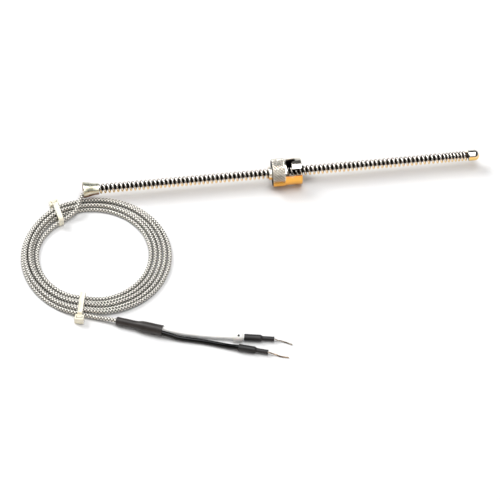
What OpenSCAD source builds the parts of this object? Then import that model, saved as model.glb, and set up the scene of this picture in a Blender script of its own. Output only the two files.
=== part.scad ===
// Bayonet thermocouple: a spring-armoured probe with a bayonet cap that screws along the spring,
// a braided lead wound in a flat coil and tied twice, and two sleeved tails with bare ends.
// X runs along the probe to its tip and Z is up. The origin is on the surface that the
// thermocouple lies on, below the middle of the probe. All lengths are in millimetres.

/* [Probe] */
// Length of the probe, from the mouth of the ferrule to the nose of the tip
probe_l = 200; // [180:1:300]
// Outside diameter of the tip
tip_d = 5.5; // [5.3:0.1:6]
// Length of the tip in front of the spring
tip_l = 5.5; // [5:0.1:9]
// Length of the tip's rounded nose
nose_l = 2.3; // [1.5:0.1:3]
// Outside diameter of the ferrule's mouth
mouth_d = 8; // [7:0.1:9]
// Outside diameter of the ferrule's narrow end
throat_d = 5.8; // [5.7:0.1:6.4]
// Length of the ferrule
ferrule_l = 7.9; // [7:0.1:12]

/* [Armour spring] */
// Outside diameter of the spring
spring_d = 5.2; // [5:0.05:5.3]
// Diameter of the spring's wire
wire_d = 1.15; // [1:0.05:1.2]
// Pitch of the open coils, which the cap's thread runs in
pitch = 2.15; // [2:0.05:2.6]
// Pitch of the closer coils behind the tip
front_pitch = 1.7; // [1.4:0.05:2]
// Pitch of the closed coils inside the ferrule
rear_pitch = 1.3; // [1.25:0.05:1.5]
// Number of closer coils behind the tip
front_turns = 7; // [2:1:12]
// Number of closed coils at the ferrule
rear_turns = 3; // [2:1:5]

/* [Bayonet cap] */
// Diameter over the knurled band
knurl_d = 14; // [13.8:0.1:16]
// Diameter of the plain sleeve
cap_d = 13.5; // [13:0.1:13.7]
// Inside diameter, for an adaptor of 12 mm
cap_bore = 12.2; // [12:0.05:12.4]
// Length of the cap
cap_l = 14.9; // [13:0.1:18]
// Length of the knurled band
knurl_l = 6.4; // [5:0.1:7]
// Where the back of the cap stands along the probe
cap_x = -4.8; // [-60:0.1:60]
// Width of the J-shaped slots
slot_w = 3; // [2.5:0.1:3.4]
// Angle from a slot's entry to its seat
slot_turn = 62; // [50:1:75]

/* [Lead] */
// Diameter of the braided lead
lead_d = 2.2; // [2:0.1:2.4]
// Outside radius of the coil
coil_r = 37.8; // [37:0.1:38]
// Inside radius of the coil
coil_hole_r = 26.7; // [26:0.1:27]
// Height of the coil
coil_h = 3.9; // [3.5:0.1:4]
// Diameter of the white sleeve
white_d = 2.6; // [2.4:0.1:2.7]
// Diameter of the black sleeve
black_d = 2.4; // [2.2:0.1:2.5]
// Diameter of the bare conductors
tail_d = 0.6; // [0.5:0.05:0.7]

/* [Cable ties] */
// Width of the strap
strap_w = 2.5; // [2.2:0.1:3]
// Thickness of the strap
strap_t = 0.9; // [0.8:0.05:1]
// Size of the head across the strap
head_w = 4.7; // [4.4:0.1:5]

/* [Hidden] */
$fn = 64;
over = 0.5;
gap = 0.05;

// The cap rests on the surface, so it sets the height of the probe's axis
axis_z = knurl_d / 2;
mouth_x = -probe_l / 2;
tip_x = probe_l / 2 - tip_l;
ferrule_wall = 0.32;
crimp_l = 3.6;
crimp_play = 0.1;

// Spring: radius of the wire's centre line, where its centre line ends, and its turns
wire_r = wire_d / 2;
coil_mean_r = spring_d / 2 - wire_r;
spring_x0 = mouth_x + 3.8;
spring_x1 = tip_x - wire_r - gap;
spring_bore = spring_d - 2 * wire_d;
open_l = spring_x1 - spring_x0 - rear_turns * rear_pitch - front_turns * front_pitch;
open_turns = open_l / pitch;
all_turns = rear_turns + open_turns + front_turns;
turn_steps = 8;
wire_sides = 5;

// Inside the spring: diameters of the layers round the two element wires
element_d = 0.3;
insulation_d = 0.72;
insulation_bore = 0.34;
jacket_d = 1.75;
jacket_bore = 1.5;
braid_bore = 1.8;
inner_x0 = mouth_x + 4;

// Inside the tip: the spigot that centres the spring, the bore, the cement and the bead
spigot_l = 4;
spigot_d = spring_bore - 0.2;
tip_bore = lead_d + 0.1;
bore_end = tip_x + 3;
cement_l = 2;
bead_d = 1.1;
bead_x = bore_end - 1.1;
layers_x1 = bore_end - cement_l - gap;

// Cap: the bush passes through its floor and screws along the spring
cap_floor = 1.5;
knurl_chamfer = 0.6;
lip_round = 0.3;
bush_d = 6.6;
bush_bore = 5.5;
bush_flange_d = 9;
bush_flange_l = 1;
bush_behind = 1.7;
bush_l = bush_behind + cap_floor + bush_flange_l;
insert_turns = 1.25;
insert_w = 0.4;
insert_in_r = 2.15;
insert_out_r = 2.74;
insert_x0 = cap_x - 1.1;
washer_d = 11.6;
washer_bore = 5.7;
washer_t = 0.6;
run_x = cap_x + 8.6;
seat_x = cap_x + 10.6;
entry_angle = 221.5;

// The lead and all that is on it is placed from the ferrule's mouth.
// Coil: its middle, and how far its hole is off that middle
coil_at = [2.5, -38.8, 0];
hole_off = [-1.1, 1.1, 0];
coil_start_r = 20;
tie_clear = 1.1;
upper_tie_angle = 120;
lower_tie_angle = 250;

// Transition sleeve: place, heading and slope, its radii, and where the lead and sleeves end in it
transition_at = [8.2, -80.1, 2.6];
transition_dir = -22.6;
transition_slope = -0.8;
transition_l = 24;
transition_r = 2.75;
transition_neck_r = 2;
lead_end_s = 8;
sleeve_start_s = 16.5;
white_side = 1.22;
black_side = -1.32;
sleeves_bore = 5.1;
core_side = 0.5;
lead_core_d = 0.95;

// Marker and the shrink sleeves on the tails' ends: place, heading, slope and sizes
white_end_at = [70.2, -97.3, 2.1];
white_end_dir = -9;
white_end_slope = 2;
black_end_at = [66.7, -103.1, 2];
black_end_dir = -17;
black_end_slope = 1.5;
marker_at = [64.8, -96.45, 2.55];
marker_d = 5;
marker_bore = 3.7;
marker_l = 4.6;
end_fat_d = 3.5;
end_thin_d = 2.3;
end_fat_l = 8;
end_taper_l = 1.2;
end_l = 15;
core_d = 1.4;
core_s = 6;

// Routes of the lead, the sleeves and the bare conductors where they aren't coiled
exit_route = [
    [3.9, 0, axis_z], [3.4, 0, axis_z], [2, -0.3, axis_z - 0.1], [0.9, -0.9, axis_z - 0.5],
    [-0.3, -2, 5.8], [-1.7, -4, 5.2], [-2.7, -6.3, 4.9], [-3.7, -8.6, 4.2], [-5, -10.3, 3.2]
];
tail_route = [
    [-9.2, -73.6, 2.1], [-5, -75, 1.7], [-0.5, -76.5, 1.5], [4, -78.3, 2],
    transition_at, in_transition(lead_end_s)
];
white_route = [
    in_transition(sleeve_start_s, white_side), in_transition(transition_l, white_side),
    [35, -89.5, 2.3], [39.4, -90.6, 1.6], [47, -92.6, 1.4], [54.6, -94.4, 1.4],
    [60, -95.5, 1.8], [64.8, -96.45, 2.1], white_end_at, in_white_end(core_s)
];
black_route = [
    in_transition(sleeve_start_s, black_side), in_transition(transition_l, black_side),
    [34.4, -92.2, 2.2], [38.8, -93.9, 1.5], [49.5, -96.9, 1.3], [58.7, -100.2, 1.4],
    [62.7, -101.8, 1.8], black_end_at, in_black_end(core_s)
];
positive_route = [
    in_white_end(core_s), in_white_end(end_l),
    [86.5, -100.3, 1.2], [88.2, -100.6, 0.9], [90, -101.3, 0.6], [93.6, -103.3, 0.4]
];
negative_route = [
    in_black_end(core_s), in_black_end(end_l),
    [83, -108.2, 1.2], [85.2, -109, 0.8], [87.1, -110, 0.5], [91, -111.1, 0.4]
];

white = "white";
braid_grey = "silver";
nickel = "gainsboro";
bronze = "goldenrod";
shrink_black = [0.15, 0.15, 0.15];
nylon = "ivory";

// A point some way along a laid piece's axis, and some way to its side
function along(at, heading, slope, s, side = 0) = at
    + s * [cos(heading) * cos(slope), sin(heading) * cos(slope), -sin(slope)]
    + side * [-sin(heading), cos(heading), 0];
function in_transition(s, side = 0) =
    along(transition_at, transition_dir, transition_slope, s, side);
function in_white_end(s) = along(white_end_at, white_end_dir, white_end_slope, s);
function in_black_end(s) = along(black_end_at, black_end_dir, black_end_slope, s);

// Stands a piece that is made along Z on the probe's axis, with Z turned to X
module on_axis(x) {
    translate([x, 0, axis_z]) rotate([0, 90, 0]) children();
}

module from_mouth() {
    translate([mouth_x, 0, 0]) children();
}

// Lays a piece that is made along Z on its heading, as seen from above
module laid(at, heading, slope) {
    from_mouth() translate(at) rotate([0, 0, heading]) rotate([0, 90 + slope, 0]) children();
}

module tube(l, out_d, in_d) {
    difference() {
        cylinder(h = l, d = out_d);
        translate([0, 0, -over]) cylinder(h = l + 2 * over, d = in_d);
    }
}

function unit(v) = v / norm(v);
function heading_at(route, i) =
    unit(route[min(i + 1, len(route) - 1)] - route[max(i - 1, 0)]);
function ring(centre, heading, r, sides) =
    let (side = unit(cross([0, 0, 1], heading)), up = cross(heading, side))
    [for (k = [0 : sides - 1])
        centre + r * (cos(360 * k / sides) * side + sin(360 * k / sides) * up)];

// Faces of a closed tube of triangles through rings of points
function tube_faces(rings, sides) = concat(
    [for (i = [0 : rings - 2], k = [0 : sides - 1])
        [i * sides + k, (i + 1) * sides + (k + 1) % sides, i * sides + (k + 1) % sides]],
    [for (i = [0 : rings - 2], k = [0 : sides - 1])
        [i * sides + k, (i + 1) * sides + k, (i + 1) * sides + (k + 1) % sides]],
    [for (k = [1 : sides - 2]) [0, k, k + 1]],
    [for (k = [1 : sides - 2])
        [(rings - 1) * sides, (rings - 1) * sides + k + 1, (rings - 1) * sides + k]]
);

module swept(route, d) {
    sides = 8;
    last = len(route) - 1;
    points = [for (i = [0 : last]) each ring(route[i], heading_at(route, i), d / 2, sides)];
    from_mouth() polyhedron(points = points, faces = tube_faces(last + 1, sides));
}

// Distance of the wire's centre from its start after some turns
function spring_run(turns) =
    rear_pitch * min(turns, rear_turns)
    + pitch * max(0, min(turns - rear_turns, open_turns))
    + front_pitch * max(0, turns - rear_turns - open_turns);

// Places a profile point, given as [outwards, along], on a right-hand helix
function on_helix(turns, x, r, p) =
    [x + p[1], (r + p[0]) * cos(360 * turns), (r + p[0]) * sin(360 * turns) + axis_z];

module armour_spring() {
    steps = round(all_turns * turn_steps);
    section = [for (k = [0 : wire_sides - 1])
        wire_r * [cos(360 * k / wire_sides), sin(360 * k / wire_sides)]];
    points = [for (i = [0 : steps], p = section)
        let (turns = all_turns * i / steps)
        on_helix(turns, spring_x0 + spring_run(turns), coil_mean_r, p)];
    color(nickel) polyhedron(points = points, faces = tube_faces(steps + 1, wire_sides));
}

// Radius of the ferrule some way in from its mouth: a bell that narrows to the throat
function bell_r(s) =
    let (flare = (1 + cos(180 * min(1, s / (ferrule_l * 0.9)))) / 2)
    throat_d / 2 + (mouth_d - throat_d) / 2 * flare;

module ferrule() {
    steps = 14;
    stations = [for (i = [0 : steps]) ferrule_l * i / steps];
    outside = [for (s = stations) [bell_r(s), s]];
    inside = [for (i = [steps : -1 : 0]) [bell_r(stations[i]) - ferrule_wall, stations[i]]];
    color(nickel) on_axis(mouth_x) rotate_extrude() polygon(concat(outside, inside));
}

module crimp_sleeve() {
    color(braid_grey) on_axis(mouth_x + ferrule_l - crimp_l) tube(crimp_l, spring_bore - crimp_play, lead_d);
}

module probe_tip() {
    steps = 10;
    straight = tip_l - nose_l;
    nose = [for (i = [0 : steps])
        [tip_d / 2 * sqrt(1 - pow(i / steps, 2.6)), straight + nose_l * i / steps]];
    color(nickel) difference() {
        union() {
            on_axis(tip_x) rotate_extrude() polygon(concat([[0, 0]], [[tip_d / 2, 0]], nose));
            on_axis(tip_x - spigot_l) cylinder(h = spigot_l + over, d = spigot_d);
        }
        on_axis(tip_x - spigot_l - over)
            cylinder(h = bore_end - tip_x + spigot_l + over, d = tip_bore);
    }
}

// The two wires run side by side and stop at the middle of the bead
module beside_axis(side) {
    translate([0, side * insulation_d / 2, 0]) on_axis(inner_x0) children();
}

module element_wire(side) {
    beside_axis(side) cylinder(h = bead_x - inner_x0, d = element_d);
}

module positive_element() {
    color("dimgray") element_wire(1);
}

module negative_element() {
    color("peru") element_wire(-1);
}

module hot_junction() {
    color(nickel) difference() {
        on_axis(bead_x) sphere(d = bead_d);
        for (side = [-1, 1]) element_wire(side);
    }
}

module tip_cement() {
    color("linen") difference() {
        on_axis(bore_end - cement_l) cylinder(h = cement_l, d = tip_bore);
        on_axis(bead_x) sphere(d = bead_d);
        for (side = [-1, 1]) element_wire(side);
    }
}

module positive_insulation() {
    color(white) beside_axis(1) tube(layers_x1 - inner_x0, insulation_d, insulation_bore);
}

module negative_insulation() {
    color("gray") beside_axis(-1) tube(layers_x1 - inner_x0, insulation_d, insulation_bore);
}

module glass_jacket() {
    color(white) on_axis(inner_x0) tube(layers_x1 - inner_x0, jacket_d, jacket_bore);
}

module inner_overbraid() {
    color(braid_grey) on_axis(inner_x0) tube(layers_x1 - inner_x0, lead_d, braid_bore);
}

// A J-shaped slot: an entry from the front, a run round the cap, and a seat hooked forwards.
// The run is a hair narrower than the entry and the seat, so that their walls don't coincide
module j_slot() {
    wall_r = cap_bore / 2 - over;
    wall = knurl_d / 2 + over - wall_r;
    hair = 0.02;
    low = run_x - cap_x - slot_w / 2;
    seat_angle = entry_angle - slot_turn;
    seat_l = seat_x - run_x + slot_w / 2;
    rotate([0, 0, entry_angle]) translate([wall_r, -slot_w / 2, low]) cube([wall, slot_w, cap_l]);
    translate([0, 0, low + hair]) rotate([0, 0, seat_angle])
        rotate_extrude(angle = slot_turn) translate([wall_r, 0]) square([wall, slot_w - hair]);
    rotate([0, 0, seat_angle]) translate([wall_r, 0, low]) {
        translate([0, -slot_w / 2, 0]) cube([wall, slot_w, seat_l]);
        translate([0, 0, seat_l]) rotate([0, 90, 0]) cylinder(h = wall, d = slot_w);
    }
}

module bayonet_cap() {
    knurl_r = knurl_d / 2;
    cap_r = cap_d / 2;
    color(nickel) on_axis(cap_x) difference() {
        rotate_extrude() polygon([
            [bush_d / 2, 0], [knurl_r - knurl_chamfer, 0], [knurl_r, knurl_chamfer],
            [knurl_r, knurl_l - 0.2], [cap_r, knurl_l], [cap_r, cap_l - lip_round],
            [cap_r - lip_round, cap_l], [cap_bore / 2, cap_l],
            [cap_bore / 2, cap_floor], [bush_d / 2, cap_floor]
        ]);
        for (turn = [0, 180]) rotate([0, 0, turn]) j_slot();
    }
}

module cap_bush() {
    bush_r = bush_d / 2;
    color(bronze) on_axis(cap_x - bush_behind) rotate_extrude() polygon([
        [bush_bore / 2, 0], [bush_r - 0.3, 0], [bush_r, 0.3], [bush_r, bush_l - bush_flange_l],
        [bush_flange_d / 2, bush_l - bush_flange_l], [bush_flange_d / 2, bush_l], [bush_bore / 2, bush_l]
    ]);
}

// Wire thread in the bush, half a pitch away from the spring's coils on each side of it
module thread_insert() {
    steps = round(insert_turns * 2 * turn_steps);
    coils_behind = (insert_x0 - spring_x0 - rear_turns * rear_pitch) / pitch;
    start = rear_turns + coils_behind - 0.5;
    section = [
        [insert_in_r, -insert_w / 2], [insert_out_r, -insert_w / 2],
        [insert_out_r, insert_w / 2], [insert_in_r, insert_w / 2]
    ];
    points = [for (i = [0 : steps], p = section)
        let (turns = insert_turns * i / steps)
        on_helix(start + turns, insert_x0 + pitch * turns, 0, p)];
    color(bronze) polyhedron(points = points, faces = tube_faces(steps + 1, 4));
}

module cap_washer() {
    color("silver") on_axis(cap_x + cap_floor + bush_flange_l + gap)
        tube(washer_t, washer_d, washer_bore);
}

module lead_exit() {
    color(braid_grey) swept(exit_route, lead_d);
}

// The coil's turns as one ring, lower at its rim and cut away where the ties pass under it
module lead_coil() {
    low = lead_d + 0.1;
    color(braid_grey) from_mouth() translate(coil_at) difference() {
        rotate_extrude() polygon([
            [coil_start_r, 0], [coil_r - 0.5, 0], [coil_r, 0.5], [coil_r, low - 0.6],
            [coil_r - 0.6, low], [coil_r - 1.6, low], [coil_r - 3, coil_h], [coil_start_r, coil_h]
        ]);
        translate(hole_off - [0, 0, over]) cylinder(h = coil_h + 2 * over, r = coil_hole_r);
        for (angle = [upper_tie_angle, lower_tie_angle])
            rotate([0, 0, angle]) translate([coil_start_r, -1.5 * strap_w, -over])
                cube([coil_r, 3 * strap_w, over + tie_clear]);
    }
}

module lead_tail() {
    color(braid_grey) swept(tail_route, lead_d);
}

module rounded_box(w, h, r) {
    square([w - 2 * r, h], center = true);
    square([w, h - 2 * r], center = true);
    for (x = [-1, 1], y = [-1, 1]) translate([x * (w / 2 - r), y * (h / 2 - r)]) circle(r);
}

// A tie round the coil: the strap's loop, the head on the coil's outside, and the strap's cut end
module cable_tie(angle, skew, in_r, out_r, height) {
    loop_w = out_r - in_r;
    middle = (in_r + out_r) / 2;
    head_l = 3.4;
    head_z = 0.4;
    head_h = 3.9;
    window = 0.3;
    place = coil_at + middle * [cos(angle), sin(angle), 0];
    from_mouth() translate(place) rotate([0, 0, angle + skew]) {
        translate([0, 0, height / 2 + strap_t]) rotate([90, 0, 0])
            linear_extrude(strap_w, center = true) difference() {
                rounded_box(loop_w + 2 * strap_t, height + 2 * strap_t, 1.8);
                rounded_box(loop_w, height, 0.9);
            }
        difference() {
            translate([loop_w / 2 + 0.1, 0, head_z]) translate([head_l / 2, 0, 0])
                linear_extrude(head_h) rounded_box(head_l, head_w, 0.7);
            translate([loop_w / 2 + 1.6, -strap_w / 2 - window, head_z + 1])
                cube([strap_t + 2 * window, strap_w + 2 * window, head_h]);
        }
        translate([loop_w / 2 + 1.6 + window, -strap_w / 2, head_z + 0.5])
            cube([strap_t, strap_w, head_h]);
    }
}

module cable_tie_upper() {
    color(nylon) cable_tie(upper_tie_angle, -18, 27.2, 38.6, 3.9);
}

module cable_tie_lower() {
    color(nylon) cable_tie(lower_tie_angle, 6, 25.2, 38.2, 3.9);
}

// Radius of the transition sleeve along its length, from the lead to the tails
function transition_out(s) =
    let (part = max(0, min(1, (s - 10) / 4.5)))
    transition_neck_r + (transition_r - transition_neck_r) * (1 - cos(180 * part)) / 2;

module transition_sleeve() {
    steps = 16;
    neck_bore = lead_d + 2 * gap;
    outside = [for (i = [0 : steps]) let (s = transition_l * i / steps) [transition_out(s), s]];
    color(shrink_black) laid(transition_at, transition_dir, transition_slope) difference() {
        rotate_extrude() polygon(concat([[0, 0]], outside, [[0, transition_l]]));
        translate([0, 0, -over]) cylinder(h = transition_l, d = neck_bore);
        translate([0, 0, sleeve_start_s]) cylinder(h = transition_l, d = sleeves_bore);
    }
}

module lead_core(side) {
    laid(transition_at, transition_dir, transition_slope)
        translate([0, side * core_side, lead_end_s])
            cylinder(h = sleeve_start_s - lead_end_s, d = lead_core_d);
}

module positive_lead_core() {
    color(white) lead_core(1);
}

module negative_lead_core() {
    color("gray") lead_core(-1);
}

module white_sleeve() {
    color(white) swept(white_route, white_d);
}

module black_sleeve() {
    color(shrink_black) swept(black_route, black_d);
}

module marker_sleeve() {
    color(white) laid(marker_at, white_end_dir, 0) tube(marker_l, marker_d, marker_bore);
}

// Shrink sleeve over the end of a tail: wide over the sleeve, narrow over the core
module end_shrink(sleeve_d) {
    fat_r = end_fat_d / 2;
    thin_r = end_thin_d / 2;
    difference() {
        rotate_extrude() polygon([
            [0, 0], [fat_r, 0], [fat_r, end_fat_l], [thin_r, end_fat_l + end_taper_l],
            [thin_r, end_l], [0, end_l]
        ]);
        translate([0, 0, -over]) cylinder(h = core_s + over, d = sleeve_d + 2 * gap);
        translate([0, 0, -over]) cylinder(h = end_l + 2 * over, d = core_d);
    }
}

module in_white_end() {
    laid(white_end_at, white_end_dir, white_end_slope) children();
}

module in_black_end() {
    laid(black_end_at, black_end_dir, black_end_slope) children();
}

module white_end_shrink() {
    color(shrink_black) in_white_end() end_shrink(white_d);
}

module black_end_shrink() {
    color(shrink_black) in_black_end() end_shrink(black_d);
}

module tail_core() {
    translate([0, 0, core_s]) tube(end_l - core_s, core_d, tail_d);
}

module positive_core() {
    color(white) in_white_end() tail_core();
}

module negative_core() {
    color("gray") in_black_end() tail_core();
}

module positive_tail() {
    color("dimgray") swept(positive_route, tail_d);
}

module negative_tail() {
    color("peru") swept(negative_route, tail_d);
}

ferrule();
crimp_sleeve();
armour_spring();
probe_tip();
tip_cement();
hot_junction();
positive_element();
negative_element();
positive_insulation();
negative_insulation();
glass_jacket();
inner_overbraid();
bayonet_cap();
cap_bush();
thread_insert();
cap_washer();
lead_exit();
lead_coil();
lead_tail();
cable_tie_upper();
cable_tie_lower();
transition_sleeve();
positive_lead_core();
negative_lead_core();
white_sleeve();
black_sleeve();
marker_sleeve();
white_end_shrink();
black_end_shrink();
positive_core();
negative_core();
positive_tail();
negative_tail();
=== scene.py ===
"""The looks of the bayonet thermocouple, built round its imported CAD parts.

The scene is in metres. Routes and outlines are written in millimetres and multiplied by MM.
"""

import math

import bmesh
import bpy
import numpy as np
from mathutils import Matrix, Vector


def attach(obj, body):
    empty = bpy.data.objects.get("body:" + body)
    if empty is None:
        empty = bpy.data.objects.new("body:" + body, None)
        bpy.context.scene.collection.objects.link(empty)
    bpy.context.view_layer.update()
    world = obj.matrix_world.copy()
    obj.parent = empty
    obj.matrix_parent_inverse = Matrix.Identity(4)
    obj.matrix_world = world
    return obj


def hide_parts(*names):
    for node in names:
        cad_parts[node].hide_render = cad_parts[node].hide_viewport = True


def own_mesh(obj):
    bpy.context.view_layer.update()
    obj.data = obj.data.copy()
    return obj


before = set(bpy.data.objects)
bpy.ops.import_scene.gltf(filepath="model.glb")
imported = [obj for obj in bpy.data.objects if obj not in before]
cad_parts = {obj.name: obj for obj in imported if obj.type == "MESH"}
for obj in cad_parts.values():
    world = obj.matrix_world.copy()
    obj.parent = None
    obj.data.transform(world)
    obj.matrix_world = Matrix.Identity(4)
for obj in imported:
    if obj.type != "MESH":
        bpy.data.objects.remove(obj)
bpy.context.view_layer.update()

MM = 0.001
AXIS_Z = 0.007
BRAID_RIBBONS, BRAID_LAY = 3, 4.8
ROOT, CAP, TIP = "probe_and_lead", "bayonet_cap", "probe_tip"
scene = bpy.context.scene

# ---------------------------------------------------------------- camera

TURN = math.radians(6.5)
TILT = math.radians(52.5)
TARGET = Vector((-0.02055, -0.04171, 0))
AWAY = Vector((-math.sin(TURN) * math.cos(TILT), -math.cos(TURN) * math.cos(TILT), math.sin(TILT)))
DISTANCE = 6
VIEW_WIDTH = 0.25

camera = bpy.data.objects.new("camera", bpy.data.cameras.new("camera"))
scene.collection.objects.link(camera)
camera.location = TARGET + AWAY * DISTANCE
camera.rotation_mode = "QUATERNION"
camera.rotation_quaternion = (-AWAY).to_track_quat("-Z", "Y")
camera.data.sensor_width = 36
camera.data.lens = camera.data.sensor_width * DISTANCE / VIEW_WIDTH
camera.data.clip_start = 0.1
camera.data.clip_end = 40
scene.camera = camera

# ---------------------------------------------------------------- materials


class Nodes:
    """A material's nodes, made by short calls."""

    def __init__(self, name):
        self.material = bpy.data.materials.new(name)
        self.material.use_nodes = True
        self.tree = self.material.node_tree
        self.shader = self.tree.nodes["Principled BSDF"]

    def add(self, kind, inputs=(), **settings):
        node = self.tree.nodes.new(kind)
        for key, value in settings.items():
            setattr(node, key, value)
        for key, value in dict(inputs).items():
            if isinstance(value, bpy.types.NodeSocket):
                self.tree.links.new(value, node.inputs[key])
            else:
                node.inputs[key].default_value = value
        return node

    def math(self, operation, a, b=0.0):
        return self.add("ShaderNodeMath", {0: a, 1: b}, operation=operation).outputs[0]

    def spread(self, value, low, high, start=0.0, end=1.0):
        inputs = {"Value": value, "From Min": start, "From Max": end, "To Min": low, "To Max": high}
        return self.add("ShaderNodeMapRange", inputs).outputs[0]

    def mix(self, factor, a, b):
        return self.add("ShaderNodeMix", {"Factor": factor, 6: a, 7: b}, data_type="RGBA").outputs[2]

    def noise(self, coordinates, scale, detail=3.0):
        inputs = {"Vector": coordinates, "Scale": scale, "Detail": detail, "Roughness": 0.55}
        return self.add("ShaderNodeTexNoise", inputs).outputs["Fac"]

    def object_place(self, stretch=(1, 1, 1), shift=(0, 0, 0)):
        place = self.add("ShaderNodeTexCoord").outputs["Object"]
        inputs = {"Vector": place, "Scale": stretch, "Location": shift}
        return self.add("ShaderNodeMapping", inputs).outputs[0]

    def uv(self):
        return self.add("ShaderNodeTexCoord").outputs["UV"]

    def crevice(self, distance, start, full):
        """How deep a place lies between neighbouring surfaces, from 0 in the open to 1."""
        open_part = self.add("ShaderNodeAmbientOcclusion", {"Distance": distance}, samples=8).outputs["AO"]
        return self.spread(open_part, 1, 0, full, start)

    def wire(self, **inputs):
        """Sets or links the shader's inputs, whose names are written here with _ for each space."""
        for key, value in inputs.items():
            socket = self.shader.inputs[key.replace("_", " ")]
            if isinstance(value, bpy.types.NodeSocket):
                self.tree.links.new(value, socket)
            else:
                socket.default_value = value


def rgb(r, g, b):
    """A colour given as it is seen, 0 to 255, as linear values."""
    return (*(((c / 255 + 0.055) / 1.055) ** 2.4 if c > 10 else c / 255 / 12.92 for c in (r, g, b)), 1)


def plated(name, light, dark, rough, lines=(1, 1, 1), line_bump=0.08, edge=0.0, shade_inside=None, under=None,
           grooves=None, crevice_shade=0.0):
    """Machined and plated metal: fine turning lines, faint stains and uneven polish.

    shade_inside is the distance from the probe's axis inside which the metal is rougher and darkened by
    painted shade. under is a painted warm reflection on the lower side: the heights over the axis where it
    starts and is complete, and its colour. grooves goes with under, and is the range of distances from the
    axis over which painted shade in a knurl's grooves fades; that shade is lighter higher up. dirt is how
    strongly crevices between neighbouring surfaces are darkened, as painted shade.
    """
    n = Nodes(name)
    place = n.object_place()
    stains = n.noise(place, 420, 4)
    turned = n.noise(n.object_place(lines), 900, 2)
    specks = n.noise(place, 5200, 2)
    colour = n.mix(n.spread(stains, 0, 1, 0.38, 0.66), light, dark)
    polish = n.spread(n.math("ADD", stains, turned), rough * 0.65, rough * 1.5, 0.7, 1.3)
    from_axis = n.object_place((0, 1, 1), (0, 0, -AXIS_Z))
    along = n.add("ShaderNodeSeparateXYZ", {"Vector": place}).outputs[0]
    # Painted warm reflection: below the axis the metal takes a warmer colour.
    if under:
        high, low, warm = under
        height = n.add("ShaderNodeSeparateXYZ", {"Vector": from_axis}).outputs[2]
        height = n.math("ADD", height, n.math("MULTIPLY", n.math("SUBTRACT", stains, 0.5), 0.0024))
        # On the knurl the painted warm reflection starts lower down.
        if grooves:
            on_knurl = n.spread(along, 1, 0, 0.0012, 0.0018)
            height = n.math("ADD", height, n.math("MULTIPLY", on_knurl, 0.0022))
        colour = n.mix(n.spread(height, 1, 0, low, high), colour, warm)
    colour = n.mix(n.spread(specks, 0, 0.16, 0.55, 0.75), colour, dark)
    distance = n.add("ShaderNodeVectorMath", {0: from_axis}, operation="LENGTH").outputs["Value"]
    # Painted shade in the knurl's grooves, lighter higher up.
    if grooves:
        behind_edge = n.spread(along, 1, 0, 0.0014, 0.0015)
        groove_shade = n.math("MULTIPLY", n.spread(distance, 1, 0, *grooves), behind_edge)
        groove_shade = n.math("MULTIPLY", groove_shade, n.spread(height, 1, 0.75, 0.0035, 0.0065))
        colour = n.mix(groove_shade, colour, rgb(22, 17, 13))
        polish = n.math("ADD", polish, n.math("MULTIPLY", groove_shade, 0.3))
    # Painted shade near the probe's axis: the metal inside the cap's bore and slots and on the inner side of
    # the spring's wire is darker, and also rougher.
    if shade_inside:
        ragged_distance = n.math("ADD", distance, n.math("MULTIPLY", stains, 0.0003))
        inside_shade = n.spread(ragged_distance, 1, 0, shade_inside, shade_inside + 0.0004)
        colour = n.mix(inside_shade, colour, rgb(20, 17, 16))
        polish = n.math("ADD", polish, n.math("MULTIPLY", inside_shade, 0.35))
    # Painted shade in the crevices between neighbouring surfaces.
    if crevice_shade:
        colour = n.mix(n.math("MULTIPLY", n.crevice(0.0008, 0.8, 0.45), crevice_shade), colour, rgb(44, 32, 22))
    n.wire(Base_Color=colour, Metallic=1.0, Roughness=polish)
    normal = n.add("ShaderNodeBump", {"Strength": line_bump, "Distance": 0.00006, "Height": turned})
    if edge:
        soft = n.add("ShaderNodeBevel", {"Radius": edge}, samples=4)
        n.tree.links.new(soft.outputs[0], normal.inputs["Normal"])
    n.wire(Normal=normal.outputs[0])
    return n.material


def plastic(name, light, dark, rough, scale, bump, grain=(1, 1, 1), through=0.0, edge=0.0, shine=0.45):
    """Moulded, extruded or shrunk plastic with a fine uneven surface.

    through is how much of the light goes into it, and shine is how strongly its surface reflects.
    """
    n = Nodes(name)
    broad = n.noise(n.object_place(), scale * 0.3, 3)
    fine = n.noise(n.object_place(grain), scale * 4, 4)
    n.wire(Base_Color=n.mix(n.spread(broad, 0, 1, 0.35, 0.68), light, dark))
    n.wire(Roughness=n.spread(fine, rough * 0.8, min(1, rough * 1.25), 0.3, 0.7))
    height = n.math("ADD", n.math("MULTIPLY", broad, 0.7), n.math("MULTIPLY", fine, 0.3))
    normal = n.add("ShaderNodeBump", {"Strength": bump, "Distance": 0.0002, "Height": height})
    if edge:
        soft = n.add("ShaderNodeBevel", {"Radius": edge}, samples=4)
        n.tree.links.new(soft.outputs[0], normal.inputs["Normal"])
    n.wire(Normal=normal.outputs[0], Specular_IOR_Level=shine)
    if through:
        n.wire(Subsurface_Weight=through, Subsurface_Radius=(0.002, 0.0018, 0.0014), Subsurface_Scale=0.6)
    return n.material


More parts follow.
